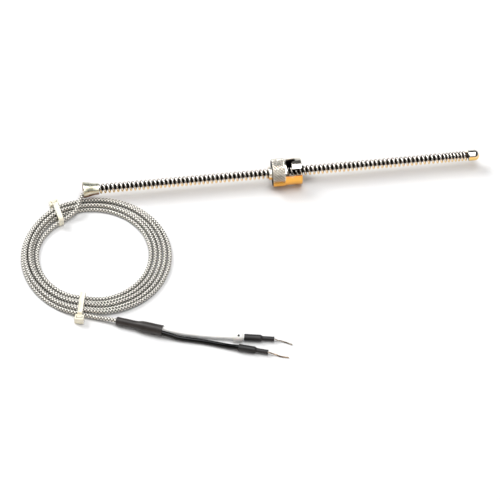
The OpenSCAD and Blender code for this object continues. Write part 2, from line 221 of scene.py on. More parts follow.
def braided(name, light, dark, gap_colour, carriers, lay, metallic, rough, crevice_shade=0.0):
    """Braid over a round core. UV holds the turns round it and the millimetres along it.

    carriers is how many ribbons run each way, and lay is how many millimetres one of them takes for a turn.
    dirt is how strongly the crevices between it and its neighbours are darkened, as painted shade.
    """
    n = Nodes(name)
    split = n.add("ShaderNodeSeparateXYZ", {"Vector": n.uv()})
    around = n.math("MULTIPLY", split.outputs[0], float(carriers))
    along = n.math("MULTIPLY", split.outputs[1], float(carriers) / lay)
    left = n.math("ADD", around, along)
    right = n.math("SUBTRACT", around, along)

    def ribbon(phase):
        return n.math("ABSOLUTE", n.math("SINE", n.math("MULTIPLY", phase, math.pi)))

    height = n.math("MULTIPLY", ribbon(left), ribbon(right))
    strands = n.noise(n.object_place(), 9000, 2)
    shade = n.mix(n.spread(strands, 0, 1, 0.3, 0.7), light, dark)
    colour = n.mix(n.spread(height, 0, 1, 0.22, 0.42), gap_colour, shade)
    # Painted shade in the crevices between the braid and its neighbours.
    if crevice_shade:
        colour = n.mix(n.math("MULTIPLY", n.crevice(0.0012, 0.62, 0.3), crevice_shade), colour, gap_colour)
    n.wire(Base_Color=colour)
    n.wire(Metallic=metallic, Roughness=n.spread(strands, rough * 0.7, rough * 1.4, 0.3, 0.7))
    relief = n.math("ADD", height, n.math("MULTIPLY", strands, 0.35))
    normal = n.add("ShaderNodeBump", {"Strength": 0.6, "Distance": 0.00015, "Height": relief})
    n.wire(Normal=normal.outputs[0])
    return n.material


# Painted warm reflection colour for the lower sides of the cap and the bush.
warm_reflection = rgb(250, 184, 82)
# The spring's wire: painted warm reflection below, and painted shade on its inner side and in the crevices
# between turns.
steel_wire = plated("spring_wire", rgb(240, 236, 230), rgb(214, 208, 200), 0.16, line_bump=0.05,
                    shade_inside=0.0019, under=(0.0014, 0.0001, rgb(250, 214, 150)), crevice_shade=0.85)
# The cap: painted warm reflection below, and painted shade inside its bore and slots and in its knurl's
# grooves.
cap_metal = plated("cap_plating", rgb(248, 245, 236), rgb(232, 226, 212), 0.14, (9, 0.4, 0.4), 0.06, 0.00012,
                   0.0063, (0.0042, 0.0028, warm_reflection), (0.00662, 0.00685))
# The tip: painted warm reflection on its lower side.
tip_metal = plated("tip_plating", rgb(248, 247, 242), rgb(232, 230, 222), 0.08, (9, 0.4, 0.4), 0.05, 0.0001,
                   under=(0.0016, 0.001, rgb(246, 206, 124)))
# Painted shade: a dark, rough metal for the tip's spigot inside the spring.
spigot_metal = plated("tip_spigot", rgb(70, 60, 50), rgb(34, 29, 25), 0.45, (9, 0.4, 0.4), 0.2)
# The ferrule: painted reddish-brown reflection and shade on its lower side.
ferrule_metal = plated("ferrule_plating", rgb(232, 234, 216), rgb(204, 200, 176), 0.3, (9, 0.4, 0.4), 0.2,
                       under=(0.0012, -0.0004, rgb(150, 100, 72)))
# The bush: painted warm reflection on its lower side.
bush_metal = plated("bush_plating", rgb(246, 243, 234), rgb(222, 214, 194), 0.26, (9, 0.4, 0.4), 0.1,
                    under=(0.001, 0, warm_reflection))
washer_metal = plated("washer_steel", rgb(190, 190, 186), rgb(150, 148, 142), 0.35)
braid = braided("steel_braid", rgb(252, 250, 244), rgb(226, 221, 208), rgb(8, 7, 6), BRAID_RIBBONS, BRAID_LAY,
                0.35, 0.32, 0.9)
# A darker copy of the steel braid: painted shade for the braid inside the armour.
shaded_braid = braided("steel_braid_inside", rgb(52, 46, 40), rgb(30, 26, 22), rgb(8, 7, 6), BRAID_RIBBONS,
                       BRAID_LAY, 1.0, 0.5)
glass_braid = braided("glass_braid", rgb(236, 232, 220), rgb(214, 206, 188), rgb(150, 142, 124), 8, 6, 0.0,
                      0.8)
black_braid = braided("black_glass_braid", rgb(40, 38, 36), rgb(24, 23, 22), rgb(8, 8, 8), 8, 6, 0.0, 0.7)
iron = plated("iron_wire", rgb(176, 166, 152), rgb(88, 78, 66), 0.3, (0.3, 3, 3), 0.08)
constantan = plated("constantan_wire", rgb(184, 160, 134), rgb(96, 78, 60), 0.3, (0.3, 3, 3), 0.08)
bead_metal = plated("weld", rgb(150, 142, 132), rgb(96, 88, 80), 0.45, (1, 1, 1), 0.4)
cement = plastic("cement", rgb(222, 214, 196), rgb(196, 186, 164), 0.85, 900, 0.5)
nylon = plastic("nylon", rgb(247, 243, 228), rgb(238, 231, 208), 0.34, 500, 0.06, through=0.25, edge=0.00012)
shrink = plastic("heat_shrink", rgb(56, 51, 49), rgb(40, 36, 35), 0.42, 620, 0.3, edge=0.0001)
end_shrink = plastic("end_shrink", rgb(44, 42, 43), rgb(30, 29, 30), 0.4, 620, 0.28, edge=0.0001, shine=0.35)
white_cloth = plastic("white_sleeving", rgb(254, 254, 253), rgb(250, 249, 246), 0.6, 900, 0.1, (0.4, 1, 1))
black_cloth = plastic("black_sleeving", rgb(10, 10, 11), rgb(5, 5, 6), 0.16, 900, 0.08, (0.4, 1, 1),
                      shine=0.22)


def marker_plastic():
    """White marker sleeve with one small printed dot on its upper side."""
    n = Nodes("marker_sleeve")
    place = n.object_place()
    dot = Vector((-0.0326, -0.0978, 0.0047))
    gap = n.add("ShaderNodeVectorMath", {0: place, 1: dot}, operation="DISTANCE").outputs["Value"]
    broad = n.noise(place, 300, 3)
    white = n.mix(n.spread(broad, 0, 1, 0.35, 0.68), rgb(254, 254, 252), rgb(249, 247, 242))
    ink = n.spread(n.math("ADD", gap, n.math("MULTIPLY", broad, 0.0002)), 0, 1, 0.00078, 0.00064)
    n.wire(Base_Color=n.mix(ink, white, rgb(16, 15, 16)), Roughness=n.spread(broad, 0.4, 0.6))
    normal = n.add("ShaderNodeBump", {"Strength": 0.1, "Distance": 0.0002, "Height": broad})
    n.wire(Normal=normal.outputs[0], Subsurface_Weight=0.1, Subsurface_Scale=0.001)
    return n.material


marker_white = marker_plastic()

# ---------------------------------------------------------------- meshes


def piece(name, vertices, faces, material, body, slot=None, replaces=(), uv=None, smooth=True, turn=60):
    """A mesh piece, which rides on a body if one is named.

    uv holds one pair for each vertex. Edges that turn by more than turn degrees are shaded sharp.
    """
    mesh = bpy.data.meshes.new(name)
    mesh.from_pydata([tuple(v) for v in vertices], [], faces)
    mesh.validate()
    mesh.update()
    if uv is not None:
        layer = mesh.uv_layers.new(name="UVMap")
        corners = np.zeros(len(mesh.loops), np.int32)
        mesh.loops.foreach_get("vertex_index", corners)
        layer.data.foreach_set("uv", np.asarray(uv, np.float32)[corners].ravel())
    obj = bpy.data.objects.new(name, mesh)
    scene.collection.objects.link(obj)
    mesh.materials.append(material)
    if smooth:
        mesh.shade_smooth()
        if turn < 180:
            mesh.set_sharp_from_angle(angle=math.radians(turn))
    if body:
        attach(obj, body)
    if replaces:
        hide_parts(*replaces)
    return obj


def unit(v):
    """The same directions, each of length 1."""
    return v / np.maximum(np.linalg.norm(v, axis=-1, keepdims=True), 1e-12)


def frames(points):
    """Two directions across a line of points, at each of them, that turn as little as they can."""
    headings = unit(np.gradient(points, axis=0))
    side = np.cross([0, 0, 1], headings[0])
    side = unit(side if np.linalg.norm(side) > 1e-6 else np.array([0, 1.0, 0]))
    sides = []
    for h in headings:
        side = unit(side - h * (side @ h))
        sides.append(side)
    sides = np.array(sides)
    return sides, np.cross(headings, sides)


def round_uv(angle, length):
    """Texture coordinates: the turns round a piece, and the millimetres along it."""
    turns, gone = np.meshgrid(angle / (2 * math.pi), length / MM)
    return np.stack([turns, gone], -1).reshape(-1, 2)


def tube(name, points, radius, sides, material, body, turn=180, relief=None, **more):
    """A round tube through points. relief adds to its radius by angle and length."""
    count = len(points)
    across, up = frames(points)
    angle = np.arange(sides) / sides * 2 * math.pi
    steps = np.linalg.norm(np.diff(points, axis=0), axis=1)
    length = np.concatenate([[0], np.cumsum(steps)])
    r = np.full((count, sides), radius)
    if relief is not None:
        r = r + relief(angle[None, :], length[:, None])
    cosine, sine = np.cos(angle)[None, :, None], np.sin(angle)[None, :, None]
    ring = across[:, None, :] * cosine + up[:, None, :] * sine
    vertices = (points[:, None, :] + ring * r[:, :, None]).reshape(-1, 3)
    faces = []
    for i in range(count - 1):
        a, b = i * sides, (i + 1) * sides
        faces += [(a + k, b + k, b + (k + 1) % sides, a + (k + 1) % sides) for k in range(sides)]
    faces += [tuple(range(sides)), tuple((count - 1) * sides + k for k in reversed(range(sides)))]
    uv = round_uv(angle, length)
    return piece(name, vertices, [f[::-1] for f in faces], material, body, uv=uv, turn=turn, **more)


def lathe(name, profile, segments, material, body, middle=(0, AXIS_Z), radius_of=None, turn=35, **more):
    """A turned piece along the probe. profile is a closed outline of (x, radius) in millimetres."""
    outline = np.asarray(profile, float) * MM
    angle = np.arange(segments) / segments * 2 * math.pi
    r = np.repeat(outline[:, 1][:, None], segments, 1)
    if radius_of is not None:
        r = radius_of(outline[:, 0][:, None], angle[None, :], r)
    x = np.repeat(outline[:, 0][:, None], segments, 1)
    vertices = np.stack([x, middle[0] + r * np.cos(angle), middle[1] + r * np.sin(angle)], -1).reshape(-1, 3)
    count = len(outline)
    faces = []
    for i in range(count):
        a, b = i * segments, (i + 1) % count * segments
        faces += [(a + k, a + (k + 1) % segments, b + (k + 1) % segments, b + k) for k in range(segments)]
    uv = round_uv(angle, outline[:, 0])
    obj = piece(name, vertices, faces, material, body, uv=uv, turn=turn, **more)
    mend(obj)
    return obj


def mend(obj):
    """Merges points that coincide and turns all faces outwards."""
    work = bmesh.new()
    work.from_mesh(obj.data)
    bmesh.ops.remove_doubles(work, verts=work.verts, dist=1e-7)
    bmesh.ops.recalc_face_normals(work, faces=work.faces)
    work.to_mesh(obj.data)
    work.free()
    obj.data.update()


def smooth_line(points, step, passes=3):
    """An even line close to a list of points: a spline through them, sampled and smoothed."""
    points = np.asarray(points, float)
    ends = np.vstack([2 * points[0] - points[1], points, 2 * points[-1] - points[-2]])
    out = []
    for a, b, c, d in zip(ends, ends[1:], ends[2:], ends[3:]):
        n = max(2, int(np.linalg.norm(c - b) / step))
        t = np.linspace(0, 1, n, endpoint=False)[:, None]
        out.append(0.5 * (2 * b + (c - a) * t + (2 * a - 5 * b + 4 * c - d) * t ** 2
                          + (3 * b - a - 3 * c + d) * t ** 3))
    line = even(np.vstack(out + [points[-1:]]), step)
    for _ in range(passes):
        line[1:-1] = (line[:-2] + 2 * line[1:-1] + line[2:]) / 4
    return line


def even(line, step):
    """The same line with its points one step apart."""
    gone = np.concatenate([[0], np.cumsum(np.linalg.norm(np.diff(line, axis=0), axis=1))])
    places = np.linspace(0, gone[-1], max(2, int(round(gone[-1] / step)) + 1))
    return np.stack([np.interp(places, gone, line[:, k]) for k in range(3)], 1)


def along(at, heading, slope, s, side=0.0):
    """A point some way along a laid piece's axis, and some way to its side, in millimetres."""
    h, t = math.radians(heading), math.radians(slope)
    return (np.array(at) + s * np.array([math.cos(h) * math.cos(t), math.sin(h) * math.cos(t), -math.sin(t)])
            + side * np.array([-math.sin(h), math.cos(h), 0]))


# ---------------------------------------------------------------- routes, in millimetres

TRANSITION = ((-91.8, -80.1, 2.6), -22.6, -0.8)
WHITE_END = ((-29.8, -97.3, 2.1), -9, 2)
BLACK_END = ((-33.3, -103.1, 2), -17, 1.5)
TRANSITION_L, LEAD_END, SLEEVE_START = 24, 8, 16.5
COIL = np.array([-97.5, -38.8])
LEAD_D = 2.2
EXIT_ROUTE = [
    (-96.1, 0, 7), (-96.6, 0, 7), (-98, -0.3, 6.9), (-99.1, -0.9, 6.5), (-100.3, -2, 5.9),
    (-101.7, -4, 5.3), (-102.7, -6.3, 5.2), (-103.7, -8.6, 4.7), (-105, -10.3, 3.5),
    (-107, -11.4, 2.7), (-109.2, -12.6, 2.3),
]
TAIL_ROUTE = [(-105, -75, 1.8), (-100.5, -76.6, 1.6), (-96, -78.4, 2.2), TRANSITION[0]]


def step_up(x):
    """Rises from 0 to 1 as x does, with no sharp turn at either end."""
    x = np.clip(x, 0, 1)
    return x * x * (3 - 2 * x)


FIRST_TURN, LAST_TURN = 0.103, 5.462
STACKED = 2.26
CROSSING, CROSSING_WIDTH = -22.6, 56
TIE_PLACES, TIE_LIFT, TIE_WIDTH = (126.3, 257.0), 1.05, 24


def off_by(degrees, place):
    """How far an angle is from another, either way round."""
    return abs((degrees - place + 180) % 360 - 180)


def lane(turns):
    """A point of the coil after some turns from its top.

    The turns lie in lanes that wander a little, and two of them lie on the turns below. All rise a little
    under the ties.
    """
    theta = math.radians(90 + 360 * turns)
    gap = 1.785 + 0.6 * math.cos(theta) - 0.25 * math.sin(theta)
    middle = 32.5 - 0.905 * math.cos(theta) + 1.075 * math.sin(theta) + 0.33 * math.cos(2 * theta)
    loop = math.floor(turns + 0.313)
    r = middle + gap * (turns - 2.75)
    if loop == 0:
        r = middle + gap * (turns - 1.75) - max(gap, STACKED)
        r -= 1.07 * (1 - step_up((turns - FIRST_TURN) / 0.12))
    z = LEAD_D / 2
    if loop in (2, 4):
        off = off_by(math.degrees(theta), CROSSING)
        lifted = math.sqrt(max(0.0, STACKED ** 2 - gap ** 2))
        z += lifted if off > CROSSING_WIDTH else 0.7 * float(step_up(off / CROSSING_WIDTH))
    for tie in TIE_PLACES:
        off = off_by(math.degrees(theta), tie)
        if off < TIE_WIDTH:
            z += TIE_LIFT * math.cos(off / TIE_WIDTH * math.pi / 2) ** 2
    world = theta - TURN
    return (COIL[0] + r * math.cos(world), COIL[1] + r * math.sin(world), z)


def lead_line():
    """The whole lead: out of the ferrule, over the coil, round it, and on to the transition."""
    coiled = [lane(t) for t in np.linspace(FIRST_TURN, LAST_TURN, 3000)]
    start = smooth_line(EXIT_ROUTE + coiled[:2], 0.3, 6)
    end = smooth_line(coiled[-2:] + TAIL_ROUTE + [tuple(along(*TRANSITION, LEAD_END))], 0.3, 6)
    line = even(np.vstack([start[:-4], np.array(coiled)[2:-2], end[4:]]), 0.3)
    for _ in range(14):
        line[1:-1] = (line[:-2] + 2 * line[1:-1] + line[2:]) / 4
    return line


lead_path = lead_line() * MM


def woven(carriers, lay, depth):
    """Relief of a braid: blobs where strands cross, and hollows along the gaps both ways round."""
    def relief(angle, length):
        around = carriers * angle / (2 * math.pi)
        forward = carriers * length / lay
        crossing = np.sin(math.pi * (around + forward)) * np.sin(math.pi * (around - forward))
        return depth * (np.abs(crossing) - 1)
    return relief


lead = tube("braided_lead", lead_path, LEAD_D / 2 * MM, 24, braid, ROOT, slot="braid",
            relief=woven(BRAID_RIBBONS, BRAID_LAY * MM, 0.14 * MM),
            replaces=("lead_exit", "lead_coil", "lead_tail"))


def sleeve_start(side):
    """The straight start of a sleeve inside the transition, to one side of its middle."""
    return [along(*TRANSITION, s, side) for s in (SLEEVE_START, 20, TRANSITION_L)]


WHITE_SIDE, BLACK_SIDE = 1.22, -1.3
white_line = smooth_line([
    *sleeve_start(WHITE_SIDE),
    (-65, -89.5, 2.3), (-60.6, -90.6, 1.6), (-53, -92.6, 1.4), (-45.4, -94.4, 1.4), (-40, -95.5, 1.7),
    (-35.2, -96.45, 2.05), WHITE_END[0], along(*WHITE_END, 6)], 0.35) * MM
black_line = smooth_line([
    *sleeve_start(BLACK_SIDE),
    (-65.6, -92.2, 2.2), (-61.2, -93.9, 1.5), (-50.5, -96.9, 1.3), (-41.3, -100.2, 1.4), (-37.3, -101.8, 1.7),
    BLACK_END[0], along(*BLACK_END, 6)], 0.35) * MM


def cloth_relief(depth):
    """Relief of a finely woven sleeve."""
    def relief(angle, length):
        return depth * np.sin(angle * 9 + length * 5200) * np.sin(angle * 9 - length * 5200)
    return relief


white_sleeve = tube("white_wire", white_line, 1.3 * MM, 20, white_cloth, ROOT, slot="white_sleeving",
                    relief=cloth_relief(0.025 * MM), replaces=("white_sleeve",))
black_sleeve = tube("black_wire", black_line, 1.2 * MM, 20, black_cloth, ROOT, slot="black_sleeving",
                    relief=cloth_relief(0.01 * MM), replaces=("black_sleeve",))

positive_line = smooth_line([along(*WHITE_END, 6), along(*WHITE_END, 11), along(*WHITE_END, 15),
                             (-13.5, -100.3, 1.1), (-11.8, -100.6, 0.8), (-10, -101.3, 0.6),
                             (-8, -102.4, 0.45), (-6.4, -103.3, 0.4)], 0.2) * MM
negative_line = smooth_line([along(*BLACK_END, 6), along(*BLACK_END, 11), along(*BLACK_END, 15),
                             (-17, -108.2, 1.1), (-14.8, -109, 0.7), (-12.9, -110, 0.5),
                             (-9, -111.1, 0.4)], 0.2) * MM
positive_tail = tube("positive_bare_wire", positive_line, 0.3 * MM, 12, iron, ROOT, turn=50,
                     slot="iron_wire", replaces=("positive_tail",))
negative_tail = tube("negative_bare_wire", negative_line, 0.3 * MM, 12, constantan, ROOT, turn=50,
                     slot="constantan_wire", replaces=("negative_tail",))


def laid_tube(name, place, stations, sides, material, slot, nodes, wobble=0.0):
    """A sleeve laid on the floor, with slightly uneven walls.

    stations are (distance along it, radius) in millimetres, along its outside first and then back inside.
    """
    gone, radius = np.array(stations, float).T
    points = np.array([along(*place, s) for s in gone]) * MM
    heading = unit(points[np.argmax(gone)] - points[np.argmin(gone)])
    across = unit(np.cross([0, 0, 1], heading))
    up = np.cross(heading, across)
    angle = np.arange(sides) / sides * 2 * math.pi
    s, a = gone[:, None], angle[None]
    bumps = wobble * (np.sin(s * 1.1 + 2 * a) + 0.6 * np.sin(s * 2.3 - 3 * a))
    r = (radius[:, None] + bumps * (radius[:, None] > 0.6)) * MM
    ring = across * np.cos(angle)[None, :, None] + up * np.sin(angle)[None, :, None]
    vertices = (points[:, None] + ring * r[..., None]).reshape(-1, 3)
    faces = []
    for i in range(len(stations)):
        b, c = i * sides, (i + 1) % len(stations) * sides
        faces += [(b + k, b + (k + 1) % sides, c + (k + 1) % sides, c + k) for k in range(sides)]
    obj = piece(name, vertices, faces, material, ROOT, slot=slot, replaces=nodes, turn=50)
    mend(obj)
    return obj


def eased(s0, r0, s1, r1, n):
    """Stations from one place and radius to another, with no sharp turn at either end."""
    return [(s0 + (s1 - s0) * i / n, r0 + (r1 - r0) * float(step_up(i / n))) for i in range(n + 1)]


transition_out = [
    (0.12, 1.88), (0.3, 1.98), *eased(1, 2.0, 9.6, 2.02, 9), *eased(10.2, 2.04, 14.2, 2.72, 8),
    *eased(15, 2.73, 23.6, 2.73, 9), (23.9, 2.7), (TRANSITION_L, 2.63),
]
transition_in = [
    (TRANSITION_L, 2.58), (23.6, 2.56), (16.6, 2.56), (16.2, 1.2), (LEAD_END, 1.14), (1, 1.14), (0.1, 1.16),
    (0, 1.4), (0, 1.75),
]
transition = laid_tube("transition_shrink", TRANSITION, transition_out + transition_in, 48, shrink, "shrink",
                       ("transition_sleeve",), 0.02)


def end_stations(bore):
    """The outline of an end sleeve, which is wide over its wire and narrow over the core."""
    return [
        (0, bore + 0.16), (0.12, 1.7), (0.35, 1.75), *eased(1, 1.75, 7.6, 1.73, 7),
        *eased(8, 1.72, 9.4, 1.16, 6), *eased(10, 1.15, 14.4, 1.15, 5), (14.8, 1.2), (15, 1.17),
        (15, 0.72), (14, 0.71), (6.2, 0.71), (6, 1.0), (5.6, bore + 0.03), (0.2, bore + 0.03),
    ]


white_shrink = laid_tube("white_wire_end_shrink", WHITE_END, end_stations(1.31), 36, end_shrink, "shrink",
                         ("white_end_shrink",), 0.015)
black_shrink = laid_tube("black_wire_end_shrink", BLACK_END, end_stations(1.22), 36, end_shrink, "shrink",
                         ("black_end_shrink",), 0.015)
MARKER = ((-35.2, -96.45, 2.55), -9, 0)
MARKER_STATIONS = [
    (0, 1.95), (0, 2.38), (0.1, 2.49), (0.3, 2.5), (2.3, 2.5), (4.3, 2.5), (4.5, 2.49), (4.6, 2.38),
    (4.6, 1.95), (4.5, 1.86), (2.3, 1.85), (0.1, 1.86),
]
marker = laid_tube("marker", MARKER, MARKER_STATIONS, 48, marker_white, "white_sleeving", ("marker_sleeve",))

CORE_STATIONS = [
    (6, 0.32), (6, 0.68), (6.1, 0.7), (14.8, 0.7), (15.1, 0.66), (15.15, 0.55), (15.15, 0.32), (12, 0.31),
]
positive_core = laid_tube("positive_wire_insulation", WHITE_END, CORE_STATIONS, 20, white_cloth,
                          "black_insulation", ("positive_core",))
negative_core = laid_tube("negative_wire_insulation", BLACK_END, CORE_STATIONS, 20, white_cloth,
                          "white_insulation", ("negative_core",))

# ---------------------------------------------------------------- cable ties


def block(name, low, high):
    """A nylon box between two corners."""
    xs, ys, zs = zip(low, high)
    corners = [(x, y, z) for x in xs for y in ys for z in zs]
    sides = [(0, 1, 3, 2), (4, 6, 7, 5), (0, 4, 5, 1), (2, 3, 7, 6), (0, 2, 6, 4), (1, 5, 7, 3)]
    obj = piece(name, corners, sides, nylon, None)
    mend(obj)
    return obj


def arc(cx, cy, r, start, end, n):
    """Points round part of a circle, with angles in degrees."""
    out = []
    for i in range(n + 1):
        a = math.radians(start + (end - start) * i / n)
        out.append((cx + r * math.cos(a), cy + r * math.sin(a)))
    return out


def rounded_loop(x0, x1, z0, z1, r, n=8):
    """Points round a rounded rectangle, from the middle of its right side upwards."""
    corners = [arc(x1 - r, z1 - r, r, 0, 90, n), arc(x0 + r, z1 - r, r, 90, 180, n)]
    corners += [arc(x0 + r, z0 + r, r, 180, 270, n), arc(x1 - r, z0 + r, r, 270, 360, n)]
    return sum(corners, [])


TIE_W, TIE_T = 2.5, 0.9


def subdivide_line(loop, step):
    """The same closed loop with its points one step apart."""
    loop = np.array(loop + loop[:1])
    gone = np.concatenate([[0], np.cumsum(np.linalg.norm(np.diff(loop, axis=0), axis=1))])
    places = np.linspace(0, gone[-1], int(gone[-1] / step), endpoint=False)
    return np.stack([np.interp(places, gone, loop[:, k]) for k in range(2)], 1)


def cable_tie(name, position, outward, inner, outer, top, head_top, node):
    """A tie round the coil at an angle from its middle, with its head pointing outward at another.

    inner and outer are radii from the coil's middle, top is the bundle's height and head_top the head's.
    """
    a, o = math.radians(position), math.radians(outward)
    centre_r = (inner + outer) / 2
    centre = COIL + centre_r * np.array([math.cos(a), math.sin(a)])
    half = (outer - inner) / 2
    reach = half + TIE_T / 2
    middle_line = subdivide_line(rounded_loop(-reach, reach, TIE_T / 2, top + TIE_T / 2, 1.35), 0.3)
    count = len(middle_line)
    tangent = unit(np.roll(middle_line, -1, 0) - np.roll(middle_line, 1, 0))
    normal = np.stack([tangent[:, 1], -tangent[:, 0]], 1)
    right = [
        (TIE_W / 2 - 0.18, -TIE_T / 2), (TIE_W / 2, -TIE_T / 2 + 0.18), (TIE_W / 2, TIE_T / 2 - 0.12),
        (TIE_W / 2 - 0.1, TIE_T / 2), (TIE_W / 2 - 0.55, TIE_T / 2 - 0.02),
        (TIE_W / 2 - 0.7, TIE_T / 2 - 0.14),
    ]
    section = right + [(-y, h) for y, h in reversed(right)]
    vertices, faces = [], []
    for (x, z), (nx, nz) in zip(middle_line, normal):
        for y, h in section:
            vertices.append((x + nx * h, y, z + nz * h))
    m = len(section)
    for i in range(count):
        j = (i + 1) % count
        faces += [(i * m + k, i * m + (k + 1) % m, j * m + (k + 1) % m, j * m + k) for k in range(m)]
    strap = piece(name, vertices, faces, nylon, None, slot="nylon", replaces=(node,), turn=40)
    mend(strap)
    head = block(name + "_head", (half + 0.55, -2.35, 0.4), (half + 4, 2.35, head_top))
    window = block(name + "_window", (half + 1.7, -1.55, head_top - 2.6), (half + 3.1, 1.55, 6))
    with_bevel(head, 0.55, 4)
    cut(head, [window])
    end = block(name + "_end", (half + 2.0, -1.25, head_top - 3), (half + 2.9, 1.25, head_top + 0.3))
    with_bevel(end, 0.12, 2)
    pawl = block(name + "_pawl", (half + 1.75, -0.8, head_top - 2.8), (half + 2.05, 0.8, head_top - 0.7))
    join(strap, [head, end, pawl])
    at = Matrix.Translation((centre[0] * MM, centre[1] * MM, 0))
    strap.data.transform(at @ Matrix.Rotation(o, 4, "Z") @ Matrix.Scale(MM, 4))
    strap.data.update()
    strap.data.shade_smooth()
    strap.data.set_sharp_from_angle(angle=math.radians(38))
    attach(strap, ROOT)
    return strap


def apply_modifiers(obj):
    """Makes what the modifiers give the piece's own mesh."""
    graph = bpy.context.evaluated_depsgraph_get()
    made = bpy.data.meshes.new_from_object(obj.evaluated_get(graph))
    obj.modifiers.clear()
    old, obj.data = obj.data, made
    made.name = obj.name
    bpy.data.meshes.remove(old)


def with_bevel(obj, width, segments):
    """Rounds a piece's sharp edges."""
    bevel = obj.modifiers.new("bevel", "BEVEL")
    bevel.width = width
    bevel.segments = segments
    bevel.limit_method = "ANGLE"
    bevel.angle_limit = math.radians(40)
    apply_modifiers(obj)


def cut(obj, cutters):
    """Cuts the cutters out of a piece and removes them."""
    for cutter in cutters:
        boolean = obj.modifiers.new("cut", "BOOLEAN")
        boolean.object = cutter
        boolean.operation = "DIFFERENCE"
        boolean.solver = "EXACT"
        apply_modifiers(obj)
        remove(cutter)


def remove(obj):
    """Deletes a piece and its mesh."""
    mesh = obj.data
    bpy.data.objects.remove(obj)
    bpy.data.meshes.remove(mesh)


def join(obj, others):
    """Adds other pieces' meshes to obj."""
    work = bmesh.new()
    work.from_mesh(obj.data)
    for o in others:
        work.from_mesh(o.data)
    work.to_mesh(obj.data)
    work.free()
    for o in others:
        remove(o)


upper_tie = cable_tie("upper_cable_tie", 119.8, 100.5, 27.3, 38.0, 5.2, 3.5, "cable_tie_upper")
lower_tie = cable_tie("lower_cable_tie", 250.5, 256.8, 25.4, 37.85, 4.55, 4.3, "cable_tie_lower")

# ---------------------------------------------------------------- armour spring

SPRING_X0, SPRING_X1 = -96.2, 93.875
WIRE_R, COIL_R = 0.575, 2.025
REAR_TURNS, FRONT_TURNS = 3, 7
REAR_PITCH, PITCH, FRONT_PITCH = 1.3, 2.15, 1.7
OPEN_TURNS = (SPRING_X1 - SPRING_X0 - REAR_TURNS * REAR_PITCH - FRONT_TURNS * FRONT_PITCH) / PITCH


def spring_place(turns):
    """The middle of the spring's wire after some turns from its rear end, in millimetres."""
    run = (REAR_PITCH * np.minimum(turns, REAR_TURNS) + PITCH * np.clip(turns - REAR_TURNS, 0, OPEN_TURNS)
           + FRONT_PITCH * np.maximum(0, turns - REAR_TURNS - OPEN_TURNS))
    angle = turns * 2 * math.pi
    return np.stack([SPRING_X0 + run, COIL_R * np.cos(angle), COIL_R * np.sin(angle) + AXIS_Z / MM], -1)


def armour():
    """The helical wire armour of the probe."""
    all_turns = REAR_TURNS + OPEN_TURNS + FRONT_TURNS
    sides, per_turn = 12, 24
    turns = np.linspace(0, all_turns, int(all_turns * per_turn) + 1)
    centre = spring_place(turns)
    angle = turns * 2 * math.pi
    outward = np.stack([np.zeros_like(angle), np.cos(angle), np.sin(angle)], -1)
    k = (np.arange(sides) / sides * 2 * math.pi)[None, :, None]
    ring = outward[:, None] * np.cos(k) + np.array([1.0, 0, 0]) * np.sin(k)
    vertices = (centre[:, None] + WIRE_R * ring).reshape(-1, 3) * MM
    n = len(turns)
    faces = []
    for i in range(n - 1):
        a, b = i * sides, (i + 1) * sides
        faces += [(a + j, b + j, b + (j + 1) % sides, a + (j + 1) % sides) for j in range(sides)]
    faces += [tuple(range(sides)), tuple((n - 1) * sides + j for j in reversed(range(sides)))]
    obj = piece("armour_coils", vertices, faces, steel_wire, ROOT, slot="spring_steel",
                replaces=("armour_spring",))
    mend(obj)
    obj.data.shade_smooth()
    obj.data.set_sharp_from_angle(angle=math.radians(50))
    return obj


spring = armour()


def pressed(obj):
    """Gives a piece inside the armour, or the armour itself, a mesh of its own."""
    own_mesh(obj)


pressed(spring)

# ---------------------------------------------------------------- layers inside the armour

LAYER_X0, LAYER_X1 = -96.0, 95.45


def layer(name, node, r_out, r_in, side, end, material, slot, segments=20):
    """A round layer or wire inside the armour, beside the probe's axis by side. Its bore is r_in."""
    steps = [LAYER_X0 + (end - LAYER_X0) * i / 300 for i in range(301)]
    profile = [(x, r_out) for x in steps] + [(end, r_in), (LAYER_X0, r_in)]
    obj = lathe(name, profile, segments, material, ROOT, middle=(side * MM, AXIS_Z), slot=slot,
                replaces=(node,))
    pressed(obj)


CORE_SIDE, WIRE_END = 0.36, 96.4
layer("braid_in_armour", "inner_overbraid", 1.1, 0.9, 0, LAYER_X1, shaded_braid, "braid", 24)
layer("glass_jacket_in_armour", "glass_jacket", 0.87, 0.75, 0, LAYER_X1, glass_braid, "glass_fibre")
layer("positive_insulation_in_armour", "positive_insulation", 0.36, 0.17, CORE_SIDE, LAYER_X1, black_braid,
      "black_insulation", 12)
layer("negative_insulation_in_armour", "negative_insulation", 0.36, 0.17, -CORE_SIDE, LAYER_X1, glass_braid,
      "white_insulation", 12)
layer("positive_element_wire", "positive_element", 0.15, 0, CORE_SIDE, WIRE_END, iron, "iron_wire", 10)
layer("negative_element_wire", "negative_element", 0.15, 0, -CORE_SIDE, WIRE_END, constantan,
      "constantan_wire", 10)

# ---------------------------------------------------------------- ferrule, tip and bush


def bell(x):
    """The ferrule's outer radius, some way from its mouth."""
    flare = (1 + math.cos(math.pi * min(1, x / 7.1))) / 2
    return 2.9 + 1.1 * flare


xs = [i * 0.2 for i in range(40)]
outside = [(-100 + x, bell(x)) for x in xs[1:]] + [(-92.15, 2.88), (-92.1, 2.8)]
inside = [(-92.1, 2.6), (-92.2, 2.585)] + [(-100 + x, bell(x) - 0.32) for x in reversed(xs[1:])]
lip = arc(-99.86, 3.84, 0.16, 270, 100, 8)
lathe("ferrule_shell", outside + inside + lip, 96, ferrule_metal, ROOT, slot="ferrule_metal",
      replaces=("ferrule",), turn=50)

